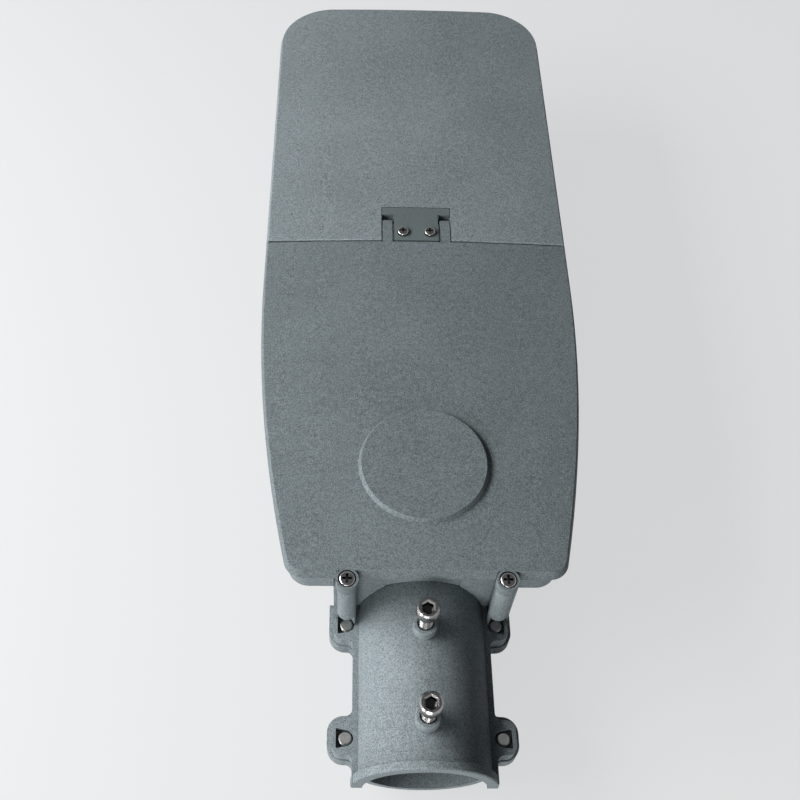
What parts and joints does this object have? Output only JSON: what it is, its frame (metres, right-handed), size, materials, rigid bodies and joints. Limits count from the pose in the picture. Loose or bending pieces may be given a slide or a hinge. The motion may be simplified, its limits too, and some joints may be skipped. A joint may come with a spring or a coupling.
{
  "type": "led street light head",
  "caption": "Flat street light head with a pole clamp socket, a hinged lid over its driver tray and a wide lamp section with lenses on its underside.",
  "frame": {"origin": "centre of the pole socket's mouth, on the pole's axis", "axes": "+Y along the head from the pole socket to the lamp section's far end, +Z to the sky, +X to the right when seen from above with the lamp section up"},
  "size_m": [0.2064, 0.6009, 0.1133],
  "materials": {
    "cast_grey": "grey powder coat with a fine texture, matt",
    "plate_grey": "smooth matt grey powder coat",
    "stainless": "bright stainless",
    "zinc_steel": "zinc plated",
    "brass": "bright brass",
    "rubber": "soft black rubber",
    "driver_aluminium": "satin",
    "black_plastic": "matt black",
    "grey_plastic": "matt grey",
    "ivory_plastic": "matt ivory",
    "board_white": "white solder mask on aluminium",
    "chip_yellow": "yellow phosphor under clear resin",
    "clear_lens": "clear moulded"
  },
  "bodies": {
    "housing": {"main_body": "cast_grey", "lower_clamp": "cast_grey", "hinge_plate": "plate_grey", "clamp_bolts": "stainless", "clamp_washers": "stainless", "set_screws": "stainless", "hinge_pin": "stainless", "hinge_plate_screws": "stainless", "tray_screws": "stainless", "block_fixing_screw": "stainless", "cable_clamp": "zinc_steel", "frame_screws": "stainless", "board_screws": "stainless", "terminal_screws": "stainless", "earth_screw": "brass", "lid_gasket": "rubber", "lens_gasket": "rubber", "entry_grommet": "rubber", "lead_seal": "rubber", "driver_case": "driver_aluminium", "driver_end_caps": "black_plastic", "surge_protector": "grey_plastic", "terminal_block": "ivory_plastic", "breather_vent": "black_plastic", "led_board": "board_white", "led_chips": "chip_yellow", "lens_plate": "clear_lens", "lens_frame": "plate_grey"},
    "lid": {"driver_lid": "cast_grey", "lid_screws": "stainless", "lid_screw_washers": "stainless"}
  },
  "joints": [
    {"name": "lid_hinge", "type": "hinge", "parent": "housing", "child": "lid", "pos_m": [0, 0.362, 0.0669], "axis": [-1, 0, 0], "range_deg": [0, 100]}
  ]
}
